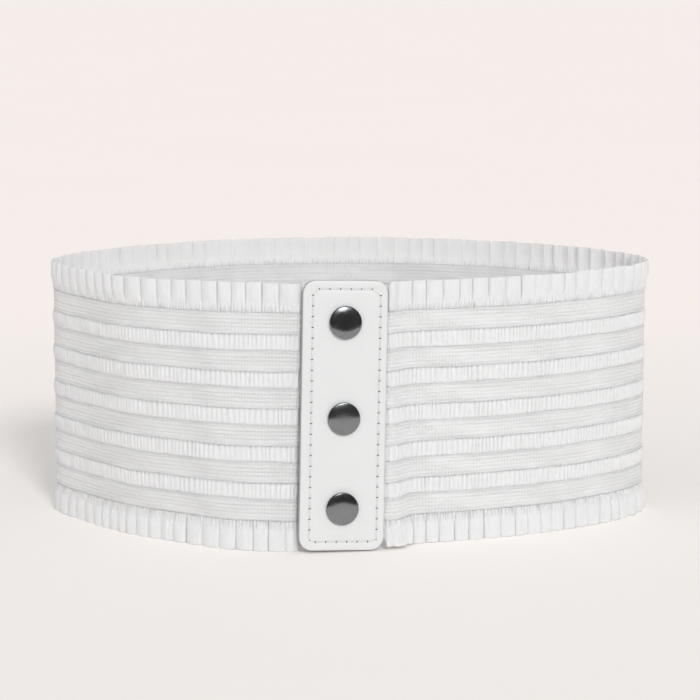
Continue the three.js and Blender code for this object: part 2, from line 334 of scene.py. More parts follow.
def weave_sheet(name, columns, rows, places, thickness, material, replaces=()):
    """Grids of cloth, one for each stripe, whose points place(column share, row share) puts on the web.

    place also gives the cloth's own length and height at each point, in metres, for the weave.
    """
    bm = bmesh.new()
    for _ in places:
        bmesh.ops.create_grid(bm, x_segments=columns, y_segments=rows, size=0.5)
    # Sharp borders keep the cut edge of the cloth from shading its face
    for edge in bm.edges:
        edge.smooth = not edge.is_boundary
    piece = finish_piece(bm, name, material, replaces)
    mesh = piece.data
    flat = np.empty(len(mesh.vertices) * 3)
    mesh.vertices.foreach_get("co", flat)
    grids = np.split(flat.reshape(-1, 3), len(places))
    laid = [place(grid[:, 0] + 0.5, grid[:, 1] + 0.5) for grid, place in zip(grids, places)]
    cloth = np.vstack([own for _, own in laid])
    mesh.vertices.foreach_set("co", np.vstack([points for points, _ in laid]).ravel())
    corner = np.empty(len(mesh.loops), dtype=np.int32)
    mesh.loops.foreach_get("vertex_index", corner)
    uv = mesh.uv_layers.new(name="cloth")
    uv.data.foreach_set("uv", cloth[corner].ravel())
    mesh.update()
    wall = piece.modifiers.new("Cloth thickness", "SOLIDIFY")
    wall.thickness = thickness
    wall.offset = 0
    return piece


def row_length(place, row, samples):
    """Length of the cloth along one row, which is what it was cut to before it was gathered."""
    shares = np.linspace(0, 1, samples)
    points, _ = place(shares, np.full(samples, row))
    return float(np.linalg.norm(np.diff(points, axis=0), axis=1).sum())


def uneven_folds(count, unevenness, rng):
    """Where each fold starts and ends along the web, as shares, with folds of unequal width."""
    widths = 1 + unevenness * rng.uniform(-1, 1, count)
    return np.concatenate([[0], np.cumsum(widths)]) / widths.sum()


def eased(values, fold, phase):
    """A value that goes smoothly from one fold's own to the next one's."""
    return values[fold] + (values[fold + 1] - values[fold]) * smoothstep(phase, 0, 1)


def stripe_edges(web):
    """Lower and upper edge of the ruffles, the elastic stripes and the gathered ones, from the floor up."""
    spare = web.height - 2 * web.ruffle_height - (web.elastic_stripes - 1) * web.gathered_height
    elastic_height = spare / web.elastic_stripes
    elastic, gathered, z = [], [], web.ruffle_height
    for stripe in range(web.elastic_stripes):
        elastic.append((z, z + elastic_height))
        z += elastic_height
        if stripe < web.elastic_stripes - 1:
            gathered.append((z, z + web.gathered_height))
            z += web.gathered_height
    return elastic, gathered


# The two ruffles are one cloth: the lower ruffle's colour is painted lighter than the upper's, as painted
# light
RUFFLE_CLOTHS_LIT_AND_SHADED = {1: ("Ruffle cloth upper", 1.045), -1: ("Ruffle cloth lower painted lighter", 1.11)}

# Grid of cloth: columns in each pleat or gather, or in the whole stripe, and rows in each stripe
RUFFLE_GRID = (30, 13)
ELASTIC_GRID = (480, 24)
GATHERED_GRID = (6, 7)

# How high the outer tab lifts the hem beside it, and how far along the web this goes
HEM_LIFT = 1.4 * MM
HEM_LIFT_END = 24 * MM


class BELT_OT_ruffles(bpy.types.Operator):
    """Pleats the two hems: flat facets with deep narrow folds, pinched into small gathers at the seam"""

    bl_idname = "belt.ruffles"
    bl_label = "Sew the ruffles"

    def execute(self, context):
        web = context.scene.belt_web
        route = Route(web)
        count = round(route.length / web.pleat_pitch)
        for name, sign, seed in (("ruffle_top", 1, 11), ("ruffle_bottom", -1, 12)):
            place = self.pleats(web, route, count, sign, np.random.default_rng(seed))
            columns, rows = RUFFLE_GRID
            cloth = ruffle_cloth(*RUFFLE_CLOTHS_LIT_AND_SHADED[sign])
            piece = weave_sheet(name, count * columns, rows, [place], web.cloth_thickness, cloth)
            cut = row_length(place, 0.85 if sign > 0 else 0.15, count * 64)
        return {"FINISHED"}

    @staticmethod
    def pleats(web, route, count, sign, rng):
        edges = uneven_folds(count, 0.24, rng)
        depth = rng.uniform(0.5, 1.1, count + 1)
        turn = rng.uniform(-1, 1, count + 1)
        pinch = rng.uniform(0, 2 * np.pi, count + 1)
        facet = rng.uniform(-1, 1, count + 2)
        hem = rng.uniform(-1, 1, count + 2)
        tuck = 0.5 * MM
        # Each pleat also has a short tuck beside its fold, from the seam some way to the hem
        side = rng.choice([-1, 1], count + 1)
        tuck_at = 0.5 + side * rng.uniform(0.2, 0.42, count + 1)
        tuck_depth = rng.uniform(0, 0.55, count + 1)
        tuck_end = rng.uniform(0.35, 1.1, count + 1)

        def place(column, row):
            turns = np.clip(column, 0, 1) * count
            fold = np.minimum(turns.astype(int), count - 1)
            phase = turns - fold
            # The columns crowd together in the narrow fold at the middle of each pleat
            phase = phase + 0.5 * np.sin(2 * np.pi * phase) / (2 * np.pi)
            distance = route.length * (edges[fold] + (edges[fold + 1] - edges[fold]) * phase)
            from_seam = row if sign > 0 else 1 - row
            rise = smoothstep(from_seam, 0.04, 0.6)
            valley = np.exp(-(((phase - 0.5) / 0.075) ** 2))
            # The pleats stand out in front and lie flatter round the back, where the web is stretched
            share = distance / route.length
            flatter = smoothstep(share, 0.27, 0.42) * (1 - smoothstep(share, 0.72, 0.84))
            fullness = 1 - 0.68 * flatter
            smooth_facet, smooth_hem = (eased(values, fold, phase) for values in (facet, hem))
            crown = 0.34 * np.cos(2 * np.pi * phase)
            short = np.exp(-(((phase - tuck_at[fold]) / 0.06) ** 2)) * tuck_depth[fold]
            short = short * (1 - smoothstep(from_seam, tuck_end[fold] - 0.3, tuck_end[fold]))
            wave = 0.6 - 1.3 * valley * depth[fold] + crown + 0.2 * smooth_facet - short
            turned = 2 * np.pi * phase
            gathers = np.sin(5 * turned + pinch[fold]) + 0.5 * np.sin(3 * turned + 2 * pinch[fold])
            gathers = gathers * np.sin(np.pi * phase) ** 0.5
            base = smoothstep(from_seam, 0, 0.04) * (1 - smoothstep(from_seam, 0.12, 0.4))
            out = web.pleat_depth * (0.12 + 0.88 * rise) * wave * smoothstep(from_seam, 0, 0.2)
            out = fullness * (out + 0.42 * MM * base * gathers)
            out = out + 0.34 * MM * smoothstep(from_seam, -0.02, 0.05) + 0.5 * MM * rise
            skew = 0.55 * MM * rise * valley * turn[fold]
            settled = route.settled(distance, np.full_like(distance, web.height if sign > 0 else 0))
            uneven = (0.22 * MM * smooth_hem - 0.25 * MM * valley) * rise * settled
            up_size = web.ruffle_height + tuck + uneven
            seam = web.height - web.ruffle_height - tuck if sign > 0 else web.ruffle_height + tuck
            if sign < 0:
                # The outer tab holds the hem beside it a little off the floor
                away = smoothstep(distance, TONGUE_LENGTH, TONGUE_LENGTH + HEM_LIFT_END)
                up_size = up_size - HEM_LIFT * (1 - away)
            up = seam + sign * from_seam * up_size
            points = route.lay(distance + skew * settled, up, out)
            if sign < 0:
                points[:, 2] = np.maximum(points[:, 2], 0)
            cloth = np.column_stack([distance * 1.9, from_seam * web.ruffle_height])
            return points, cloth

        return place


class BELT_OT_elastic_stripes(bpy.types.Operator):
    """Weaves the flat elastic stripes, each with its raised ribs"""

    bl_idname = "belt.elastic_stripes"
    bl_label = "Weave the elastic stripes"

    def execute(self, context):
        web = context.scene.belt_web
        route = Route(web)
        cloth = elastic_cloth()
        stripes = stripe_edges(web)[0]
        places = [
            self.ribs(route, low, high, np.random.default_rng(30 + i))
            for i, (low, high) in enumerate(stripes)
        ]
        half = len(places) // 2
        for name, share, replaces in (
            ("elastic_lower", places[:half], ["elastic_web"]),
            ("elastic_upper", places[half:], []),
        ):
            piece = weave_sheet(name, *ELASTIC_GRID, share, web.elastic_thickness, cloth, replaces)
        return {"FINISHED"}

    @staticmethod
    def ribs(route, low, high, rng):
        ribs = 6
        drift = rng.uniform(0, 2 * np.pi, 4)

        def place(column, row):
            distance = np.clip(column, 0, 1) * route.length
            rib = np.abs(np.sin(np.pi * row * ribs)) ** 0.7
            sway = np.sin(distance * 90 + drift[0]) + np.sin(distance * 210 + drift[1])
            lift = np.sin(distance * 60 + drift[2]) + np.sin(distance * 170 + drift[3])
            up = low + (high - low) * row + 0.07 * MM * lift
            out = 0.07 * MM * rib + 0.03 * MM * sway
            return route.lay(distance, up, out), np.column_stack([distance, (high - low) * row])

        return place


# How far a gathered stripe reaches into the elastic ones above and below it
STRIPE_OVERLAP = 0.4 * MM


class BELT_OT_gathered_stripes(bpy.types.Operator):
    """Gathers the puffed stripes between the elastic ones into fine uneven folds"""

    bl_idname = "belt.gathered_stripes"
    bl_label = "Gather the puffed stripes"

    def execute(self, context):
        web = context.scene.belt_web
        route = Route(web)
        cloth = gathered_cloth()
        count = round(route.length / web.gather_pitch)
        stripes = stripe_edges(web)[1]
        places = [
            self.gathers(web, route, low, high, count, np.random.default_rng(50 + i))
            for i, (low, high) in enumerate(stripes)
        ]
        half = len(places) // 2
        for name, share in (("gathered_lower", places[:half]), ("gathered_upper", places[half:])):
            columns, rows = GATHERED_GRID
            piece = weave_sheet(name, count * columns, rows, share, web.cloth_thickness, cloth)
            cut = row_length(share[0], 0.5, count * 24)
        return {"FINISHED"}

    @staticmethod
    def gathers(web, route, low, high, count, rng):
        edges = uneven_folds(count, 0.38, rng)
        depth = rng.uniform(0.45, 1.25, count + 1)
        slant = rng.uniform(-1, 1, count + 2)
        puff = rng.uniform(-1, 1, count + 2)

        def place(column, row):
            turns = np.clip(column, 0, 1) * count
            fold = np.minimum(turns.astype(int), count - 1)
            phase = turns - fold
            distance = route.length * (edges[fold] + (edges[fold + 1] - edges[fold]) * phase)
            smooth_depth, smooth_slant, smooth_puff = (
                eased(values, fold, phase) for values in (depth, slant, puff)
            )
            # The puff stands out most just under its upper edge, like a small lip
            belly = np.sin(np.pi * np.clip(row, 0, 1) ** 1.25) ** 0.55 * smoothstep(row, -0.15, 0.25)
            wave = np.cos(2 * np.pi * phase) * smooth_depth
            puffed = 0.08 * MM + 0.1 * MM * smooth_puff
            out = 0.4 * MM + belly * puffed + web.gather_depth * belly * wave
            up = low - STRIPE_OVERLAP + (high - low + 2 * STRIPE_OVERLAP) * row
            shifted = distance + 0.35 * MM * smooth_slant * (row - 0.5) * route.settled(distance, up)
            points = route.lay(shifted, up, out)
            return points, np.column_stack([distance * 1.25, (high - low) * row])

        return place


# The closure

# The seam is sewn a little nearer to the tab's right edge
SEAM_SHIFT = 0.5 * MM
SEAM_RING = 4

# Which of a leather layer's finishes its needle holes and its cut edge take; both are dark finishes, painted
# shade
HOLE_SHADE_FINISH, EDGE_SHADE_FINISH = 1, 2


def outline_face(bm, width, height, corner):
    """A face with rounded corners that looks towards -Y, its middle at the origin."""
    bmesh.ops.create_grid(bm, x_segments=1, y_segments=1, size=0.5)
    bmesh.ops.scale(bm, vec=(width, height, 1), verts=bm.verts)
    bmesh.ops.rotate(bm, cent=(0, 0, 0), matrix=Matrix.Rotation(math.pi / 2, 3, "X"), verts=bm.verts)
    bmesh.ops.bevel(
        bm, geom=bm.verts[:], offset=corner, segments=7, profile=0.5, affect="VERTICES", material=-1
    )


def needle_holes(size, closure):
    """Places of the needle holes along a tab's seam, in order, as (x, z) in the tab's own frame."""
    half_x, half_z = size[0] / 2 - closure.stitch_inset, size[1] / 2 - closure.stitch_inset
    across = int((half_x - 1.2 * MM) / closure.stitch_pitch + 0.5)
    tall = int((half_z - 1.2 * MM) / closure.stitch_pitch + 0.5)
    xs = [(i + 0.5) * closure.stitch_pitch for i in range(-across, across)]
    zs = [(i + 0.3) * closure.stitch_pitch for i in range(-tall, tall)]
    bottom = [(x, -half_z) for x in xs]
    right = [(SEAM_SHIFT + half_x, z) for z in zs]
    top = [(x, half_z) for x in reversed(xs)]
    return bottom + right + top + [(SEAM_SHIFT - half_x, z) for z in reversed(zs)]


def cut_lines(bm, places, axis):
    """Cuts every face across at the given places along an axis."""
    normal = Vector((1, 0, 0)) if axis == 0 else Vector((0, 0, 1))
    for place in sorted(set(round(p, 6) for p in places)):
        geometry = bm.verts[:] + bm.edges[:] + bm.faces[:]
        bmesh.ops.bisect_plane(bm, geom=geometry, dist=1e-6, plane_co=normal * place, plane_no=normal)


def leather_layer(bm, size, thickness, closure, snaps):
    """One layer of a tab, its good side towards -Y at y = 0: rolled edge, sunk seam and needle holes."""
    width, height = size
    roll = 0.35 * MM
    outline_face(bm, width, height, closure.corner)
    rim = bm.edges[:]
    wall = bmesh.ops.extrude_edge_only(bm, edges=rim)
    cut_edge = [f for f in wall["geom"] if isinstance(f, bmesh.types.BMFace)]
    back = [v for v in wall["geom"] if isinstance(v, bmesh.types.BMVert)]
    bmesh.ops.translate(bm, vec=(0, thickness, 0), verts=back)
    front = next(f for f in bm.faces if len(f.verts) > 4)
    half_seam = 0.42 * MM
    rings = [
        (0.12 * MM, 0.13 * MM),
        (0.14 * MM, 0.09 * MM),
        (0.3 * MM, 0.1 * MM),
        (0.6 * MM, 0.03 * MM),
        (closure.stitch_inset - half_seam - 1.14 * MM - 0.35 * MM, 0),
        (0.35 * MM, -0.09 * MM),
        (2 * half_seam, -0.04 * MM),
        (0.35 * MM, 0.1 * MM),
        (0.6 * MM, 0.05 * MM),
    ]
    bmesh.ops.translate(bm, vec=(0, roll, 0), verts=front.verts)
    for i, (inset, rise) in enumerate(rings):
        ring = bmesh.ops.inset_region(bm, faces=[front], thickness=inset, use_even_offset=True)
        aside = SEAM_SHIFT if i == SEAM_RING else 0
        bmesh.ops.translate(bm, vec=(aside, -rise, 0), verts=front.verts)
        if i == 0:
            cut_edge += ring["faces"]
    for face in cut_edge:
        face.material_index = EDGE_SHADE_FINISH
    holes = needle_holes(size, closure)
    half_hole = 0.2 * MM
    half_z = height / 2 - closure.stitch_inset
    xs = [x for x, z in holes if abs(abs(z) - half_z) < 1e-6]
    zs = [z for x, z in holes if abs(abs(z) - half_z) >= 1e-6]
    cut_lines(bm, [x + s * half_hole for x in xs for s in (-1, 1)], 0)
    cut_lines(bm, [z + s * half_hole for z in zs for s in (-1, 1)], 2)
    cut_lines(bm, [z + closure.stitch_pitch / 2 for z in zs], 2)
    cut_lines(bm, [x + closure.stitch_pitch / 2 for x in xs], 0)
    open_faces = []
    for face in bm.faces:
        centre = face.calc_center_median()
        if abs(face.normal.y) > 0.9 and any(
            abs(centre.x - x) < half_hole and abs(centre.z - z) < half_hole for x, z in holes
        ):
            open_faces.append(face)
    # Each needle hole is a shallow dent with a dark finish, as painted shade
    for face in open_faces:
        inner = bmesh.ops.inset_region(bm, faces=[face], thickness=0.06 * MM, use_even_offset=True)
        bmesh.ops.translate(bm, vec=(0, 0.5 * MM, 0), verts=face.verts)
        face.material_index = HOLE_SHADE_FINISH
        for side in inner["faces"]:
            side.material_index = HOLE_SHADE_FINISH
    for vert in bm.verts:
        if vert.co.y < thickness / 2:
            for snap in snaps:
                apart = math.hypot(vert.co.x, vert.co.z - snap)
                vert.co.y += 0.16 * MM * math.exp(-((apart / (8 * MM)) ** 2))
    back_rim = [e for e in bm.edges if e.is_boundary]
    bmesh.ops.holes_fill(bm, edges=back_rim, sides=0)
    bmesh.ops.recalc_face_normals(bm, faces=bm.faces)


def snap_heights():
    return [(share - 0.5) * TAB_SIZE[1] for share in SNAP_ROWS.values()]


class BELT_OT_tabs(bpy.types.Operator):
    """Cuts each tab from two leatherette layers with an edge filling between them, whose grey, like that of
    the cut edges, is painted shade
    """

    bl_idname = "belt.tabs"
    bl_label = "Cut the tabs"

    def execute(self, context):
        closure = context.scene.belt_closure
        place = closure_matrix()
        for name, size, face, opening in (
            ("outer_tab", TAB_SIZE, 0, 1),
            ("under_tab", UNDER_TAB_SIZE, UNDER_TAB_FACE, -1),
        ):
            self.cut(closure, place, name, size, face, opening)
        return {"FINISHED"}

    def cut(self, closure, place, name, size, face, opening):
        layer = 1.05 * MM
        finishes = [leatherette(), needle_hole_painted_shade(), edge_painted_shade()]
        for side, turned_round in (("front", False), ("back", True)):
            bm = bmesh.new()
            leather_layer(bm, size, layer, closure, snap_heights())
            if turned_round:
                bmesh.ops.scale(bm, vec=(1, -1, 1), verts=bm.verts)
                bmesh.ops.translate(bm, vec=(0, TAB_THICKNESS, 0), verts=bm.verts)
                bmesh.ops.reverse_faces(bm, faces=bm.faces)
            bmesh.ops.translate(bm, vec=(0, face, 0), verts=bm.verts)
            bmesh.ops.transform(bm, matrix=place, verts=bm.verts)
            replaces = [name] if side == "front" else []
            finish_piece(bm, f"{name}_{side}_layer", finishes, replaces)
        bm = bmesh.new()
        inset = 0.22 * MM
        outline_face(bm, size[0] - 2 * inset, size[1] - 2 * inset, closure.corner - inset)
        inner_x = opening * (size[0] / 2 - POCKET_DEPTH)
        inner_z = size[1] / 2 - POCKET_MARGIN
        cut_lines(bm, [inner_x], 0)
        cut_lines(bm, [-inner_z, inner_z], 2)
        centres = [(face, face.calc_center_median()) for face in bm.faces]
        pocket = [
            face for face, at in centres if opening * at.x > opening * inner_x and abs(at.z) < inner_z
        ]
        bmesh.ops.delete(bm, geom=pocket, context="FACES")
        grown = bmesh.ops.extrude_face_region(bm, geom=bm.faces[:])
        moved = [v for v in grown["geom"] if isinstance(v, bmesh.types.BMVert)]
        bmesh.ops.translate(bm, vec=(0, TAB_THICKNESS - 2 * layer, 0), verts=moved)
        bmesh.ops.translate(bm, vec=(0, face + layer, 0), verts=bm.verts)
        bmesh.ops.recalc_face_normals(bm, faces=bm.faces)
        bmesh.ops.transform(bm, matrix=place, verts=bm.verts)
        finish_piece(bm, f"{name}_core", edge_painted_shade(), smooth=False)


class BELT_OT_stitching(bpy.types.Operator):
    """Sews the tabs round with white thread, on both of their sides"""

    bl_idname = "belt.stitching"
    bl_label = "Sew the tabs"

    def execute(self, context):
        closure = context.scene.belt_closure
        place = closure_matrix()
        thread = sewing_thread()
        for name, size, face in (("outer_tab", TAB_SIZE, 0), ("under_tab", UNDER_TAB_SIZE, UNDER_TAB_FACE)):
            bm = bmesh.new()
            holes = needle_holes(size, closure)
            for depth in (face + 0.02 * MM, face + TAB_THICKNESS - 0.02 * MM):
                for start, end in zip(holes, holes[1:] + holes[:1]):
                    self.stitch(bm, start, end, depth, closure.thread_thickness)
            bmesh.ops.transform(bm, matrix=place, verts=bm.verts)
            finish_piece(bm, f"{name}_stitching", thread)
        return {"FINISHED"}

    @staticmethod
    def stitch(bm, start, end, depth, thickness):
        apart = math.hypot(end[0] - start[0], end[1] - start[1])
        turn = math.atan2(end[1] - start[1], end[0] - start[0])
        made = bmesh.ops.create_uvsphere(bm, u_segments=8, v_segments=8, radius=0.5)
        verts = made["verts"]
        bmesh.ops.rotate(bm, cent=(0, 0, 0), matrix=Matrix.Rotation(math.pi / 2, 3, "Y"), verts=verts)
        for vert in verts:
            vert.co.x = math.copysign(0.5 * (2 * abs(vert.co.x)) ** 0.8, vert.co.x)
        bmesh.ops.scale(bm, vec=(apart - 0.45 * MM, thickness, thickness), verts=verts)
        bmesh.ops.rotate(bm, cent=(0, 0, 0), matrix=Matrix.Rotation(-turn, 3, "Y"), verts=verts)
        middle = ((start[0] + end[0]) / 2, depth, (start[1] + end[1]) / 2)
        bmesh.ops.translate(bm, vec=middle, verts=verts)


# The snaps


def turn_piece(profile, place, name, replaces, sides=56):
    """A turned part from (radius, depth) pairs in millimetres, from the axis in front round to the back."""
    bm = bmesh.new()
    verts = [bm.verts.new((radius * MM, depth * MM, 0)) for radius, depth in profile]
    edges = [bm.edges.new(pair) for pair in zip(verts, verts[1:])]
    bmesh.ops.spin(
        bm, geom=verts + edges, cent=(0, 0, 0), axis=(0, 1, 0), angle=2 * math.pi, steps=sides, use_merge=True
    )
    bmesh.ops.remove_doubles(bm, verts=bm.verts, dist=1e-6)
    bmesh.ops.recalc_face_normals(bm, faces=bm.faces)
    bmesh.ops.transform(bm, matrix=place, verts=bm.verts)
    return finish_piece(bm, name, gunmetal(), replaces)


def cap_profile():
    """A shallow dome inside a thin rolled rim, over the post that goes through the tab."""
    radii = (0, 0.8, 1.6, 2.4, 3.1, 3.7, 4.2, 4.7, 5.1, 5.5)
    dome = [(r, -1.85 + 0.0051 * r**2 + 0.000235 * r**4) for r in radii]
    roll = [
        (5.7 + 0.55 * math.sin(math.radians(a)), -0.95 - 0.5 * math.cos(math.radians(a)))
        for a in (18, 34, 50, 66, 80, 95, 115)
    ]
    skirt = [(6.05, -0.4), (5.95, 0.02), (1.6, 0.02), (1.6, 4.1), (0, 4.1)]
    return dome + roll + skirt


SOCKET_PROFILE = (
    (1.9, 3.5), (5.0, 3.5), (5.45, 3.75), (5.6, 4.1), (5.3, 5.5), (4.85, 6.5), (4.4, 6.5), (2.7, 6.5),
    (2.7, 4.1), (1.9, 4.1), (1.9, 3.5),
)
STUD_PROFILE = (
    (0, 4.4), (1.6, 4.4), (2.1, 4.6), (2.4, 5.3), (2.3, 6.0), (2.05, 6.8), (5.0, 6.8), (5.2, 7.0),
    (5.2, 7.5), (1.5, 7.5), (1.5, 5.1), (0, 5.1),
)
EYELET_PROFILE = (
    (0, 5.4), (1.2, 5.4), (1.2, 11.0), (4.5, 11.0), (4.75, 11.15), (4.8, 11.4), (4.6, 11.75), (4.1, 12.0),
    (3.4, 12.08), (2.6, 11.95), (2.2, 11.8), (1.2, 11.75), (0, 11.75),
)
# How far each cap is pressed askew, in degrees upward
CAP_TILTS = {"upper": 2.8, "middle": 0.0, "lower": 0.0}


class BELT_OT_snaps(bpy.types.Operator):
    """Turns the gunmetal snaps: domed caps in front, sockets, studs and eyelets behind"""

    bl_idname = "belt.snaps"
    bl_label = "Fit the snaps"

    def execute(self, context):
        place = closure_matrix()
        for row, share in SNAP_ROWS.items():
            spot = place @ Matrix.Translation((0, 0, (share - 0.5) * TAB_SIZE[1]))
            tilt = Matrix.Rotation(math.radians(-CAP_TILTS[row]), 4, "X")
            turn_piece(cap_profile(), spot @ tilt, f"cap_{row}", [f"snap_cap_{row}"])
            turn_piece(SOCKET_PROFILE, spot, f"socket_{row}", [f"snap_socket_{row}"], sides=32)
            turn_piece(STUD_PROFILE, spot, f"stud_{row}", [f"snap_stud_{row}"], sides=32)
            turn_piece(EYELET_PROFILE, spot, f"eyelet_{row}", [f"snap_eyelet_{row}"], sides=40)
        return {"FINISHED"}


# Finishes


def effect_group(name, inputs, outputs):
    """An empty shader node group with named sockets, and its input and output nodes."""
    group = bpy.data.node_groups.new(name, "ShaderNodeTree")
    for label, kind, default in inputs:
        socket = group.interface.new_socket(label, in_out="INPUT", socket_type=kind)
        if default is not None:
            socket.default_value = default
    for label, kind in outputs:
        group.interface.new_socket(label, in_out="OUTPUT", socket_type=kind)
    return group, group.nodes.new("NodeGroupInput"), group.nodes.new("NodeGroupOutput")


class Nodes:
    """Short ways to place and join the nodes of one tree."""

    def __init__(self, tree):
        self.tree = tree

    def add(self, kind, **settings):
        node = self.tree.nodes.new(kind)
        for key, value in settings.items():
            setattr(node, key, value)
        return node

    def feed(self, socket, value):
        if isinstance(value, bpy.types.NodeSocket):
            self.tree.links.new(value, socket)
        else:
            socket.default_value = value

    def maths(self, operation, *values):
        node = self.add("ShaderNodeMath", operation=operation)
        for socket, value in zip(node.inputs, values):
            self.feed(socket, value)
        return node.outputs[0]

    def vector(self, operation, first, second):
        node = self.add("ShaderNodeVectorMath", operation=operation)
        self.feed(node.inputs[0], first)
        self.feed(node.inputs[1], second)
        return node.outputs[0]

    def noise(self, vector, scale, detail=2.0, roughness=0.5):
        node = self.add("ShaderNodeTexNoise")
        self.feed(node.inputs["Vector"], vector)
        self.feed(node.inputs["Scale"], scale)
        self.feed(node.inputs["Detail"], detail)
        self.feed(node.inputs["Roughness"], roughness)
        return node.outputs["Fac"]

    def remap(self, value, low, high, to_low, to_high):
        node = self.add("ShaderNodeMapRange")
        entries = {"Value": value, "From Min": low, "From Max": high, "To Min": to_low, "To Max": to_high}
        for key, entry in entries.items():
            self.feed(node.inputs[key], entry)
        return node.outputs["Result"]

    def mix(self, share, first, second):
        node = self.add("ShaderNodeMix", data_type="RGBA")
        self.feed(node.inputs["Factor"], share)
        self.feed(node.inputs["A"], first)
        self.feed(node.inputs["B"], second)
        return node.outputs["Result"]

    def split(self, vector):
        node = self.add("ShaderNodeSeparateXYZ")
        self.feed(node.inputs[0], vector)
        return node.outputs

    def group(self, group, **inputs):
        node = self.add("ShaderNodeGroup")
        node.node_tree = group
        for key, value in inputs.items():
            self.feed(node.inputs[key.replace("_", " ")], value)
        return node.outputs

    def bump(self, height, distance, strength=1.0, normal=None):
        node = self.add("ShaderNodeBump")
        self.feed(node.inputs["Height"], height)
        node.inputs["Distance"].default_value = distance
        node.inputs["Strength"].default_value = strength
        if normal is not None:
            self.feed(node.inputs["Normal"], normal)
        return node.outputs["Normal"]


def thread_group():
    """Plain weave: threads that cross over and under, and the pinholes between them, as a mask for painted
    shade.
    """
    name = "Plain weave"
    if name in bpy.data.node_groups:
        return bpy.data.node_groups[name]
    group, ins, outs = effect_group(
        name,
        [
            ("Vector", "NodeSocketVector", None),
            ("Across", "NodeSocketFloat", 2500.0),
            ("Along", "NodeSocketFloat", 2500.0),
        ],
        [("Height", "NodeSocketFloat"), ("Pinhole shade", "NodeSocketFloat")],
    )
    n = Nodes(group)
    u, v, _ = n.split(ins.outputs["Vector"])
    across = n.maths("SINE", n.maths("MULTIPLY", u, n.maths("MULTIPLY", ins.outputs["Across"], math.pi)))
    along = n.maths("SINE", n.maths("MULTIPLY", v, n.maths("MULTIPLY", ins.outputs["Along"], math.pi)))
    crossing = n.maths("MULTIPLY", across, along)
    n.feed(outs.inputs["Height"], n.remap(crossing, -1, 1, 0, 1))
    gap = n.maths("ADD", n.maths("ABSOLUTE", across), n.maths("ABSOLUTE", along))
    n.feed(outs.inputs["Pinhole shade"], n.remap(gap, 0.15, 0.6, 1, 0))
    return group


def cloud_group():
    """Soft uneven tone, as any cloth or leather shows over a few centimetres."""
    name = "Uneven tone"
    if name in bpy.data.node_groups:
        return bpy.data.node_groups[name]
    group, ins, outs = effect_group(
        name,
        [
            ("Vector", "NodeSocketVector", None),
            ("Scale", "NodeSocketFloat", 60.0),
            ("Amount", "NodeSocketFloat", 0.05),
            ("Color", "NodeSocketColor", (1, 1, 1, 1)),
        ],
        [("Color", "NodeSocketColor"), ("Tone", "NodeSocketFloat")],
    )
    n = Nodes(group)
    cloud = n.noise(ins.outputs["Vector"], ins.outputs["Scale"], 3.0, 0.55)
    tone = n.remap(cloud, 0.3, 0.7, -1, 1)
    shade = n.maths("ADD", 1.0, n.maths("MULTIPLY", tone, ins.outputs["Amount"]))
    scaled = n.add("ShaderNodeVectorMath", operation="SCALE")
    n.feed(scaled.inputs[0], ins.outputs["Color"])
    n.feed(scaled.inputs["Scale"], shade)
    n.feed(outs.inputs["Color"], scaled.outputs[0])
    n.feed(outs.inputs["Tone"], tone)
    return group


def finish(name, build, roughness, **constants):
    """A Principled material made once; build feeds its changing sockets."""
    if name in bpy.data.materials:
        return bpy.data.materials[name]
    material = bpy.data.materials.new(name)
    material.use_nodes = True
    n = Nodes(material.node_tree)
    shader = material.node_tree.nodes["Principled BSDF"]
    shader.inputs["Roughness"].default_value = roughness
    for key, value in constants.items():
        shader.inputs[key.replace("_", " ")].default_value = value
    build(n, shader.inputs)
    return material


def soft_white(reach, sheen):
    """White cloth lets light wander through it, which softens its small shadows and lights the inside."""
    return {
        "Subsurface_Weight": 0.9,
        "Subsurface_Scale": reach,
        "Subsurface_Radius": (1, 0.97, 0.94),
        "Sheen_Weight": sheen,
        "Sheen_Roughness": 0.5,
    }


def colour(rgb, scale=1.0):
    return (rgb[0] * scale, rgb[1] * scale, rgb[2] * scale, 1)


def web_colour():
    return bpy.context.scene.belt_web.cloth_colour


def cloth_map(n):
    return n.add("ShaderNodeUVMap", uv_map="cloth").outputs["UV"]


def ruffle_cloth(name, tone_and_painted_light):
    def build(n, shader):
        cloth = cloth_map(n)
        weave = n.group(thread_group(), Vector=cloth, Across=3000.0, Along=3000.0)
        # The factor holds the ruffle's own tone and, for the lower ruffle, painted light
        white = colour(web_colour(), tone_and_painted_light)
        tone = n.group(cloud_group(), Vector=cloth, Scale=90.0, Amount=0.025, Color=white)
        # The pinholes between the threads are painted darker, as painted shade
        shade = n.mix(n.maths("MULTIPLY", weave["Pinhole shade"], 0.12), tone["Color"], colour(web_colour(), 0.7))
        # Small crimps, where the gathering thread holds the cloth; the hollows between them are painted
        # darker, as painted shade
        near_seam = n.remap(n.split(cloth)[1], 0.0006, 0.0036, 1, 0)
        crimps = n.noise(n.vector("MULTIPLY", cloth, (700, 260, 1)), 1.0, 1.0)
        painted_crimp_shade = n.maths("MULTIPLY", near_seam, n.remap(crimps, 0.52, 0.66, 0, 0.4))
        n.feed(shader["Base Color"], n.mix(painted_crimp_shade, shade, colour(web_colour(), 0.5)))
        # Fine creases run from the seam to the hem
        creases = n.noise(n.vector("MULTIPLY", cloth, (900, 110, 1)), 1.0, 2.0)
        rough = n.remap(tone["Tone"], -1, 1, 0.62, 0.74)
        n.feed(shader["Roughness"], rough)
        soft = n.bump(creases, 0.00022, 0.6, n.bump(n.maths("MULTIPLY", crimps, near_seam), 0.0012, 1.0))
        n.feed(shader["Normal"], n.bump(weave["Height"], 0.00006, 0.5, soft))

    return finish(name, build, 0.68, **soft_white(2.6 * MM, 0.05), Specular_IOR_Level=0.35)


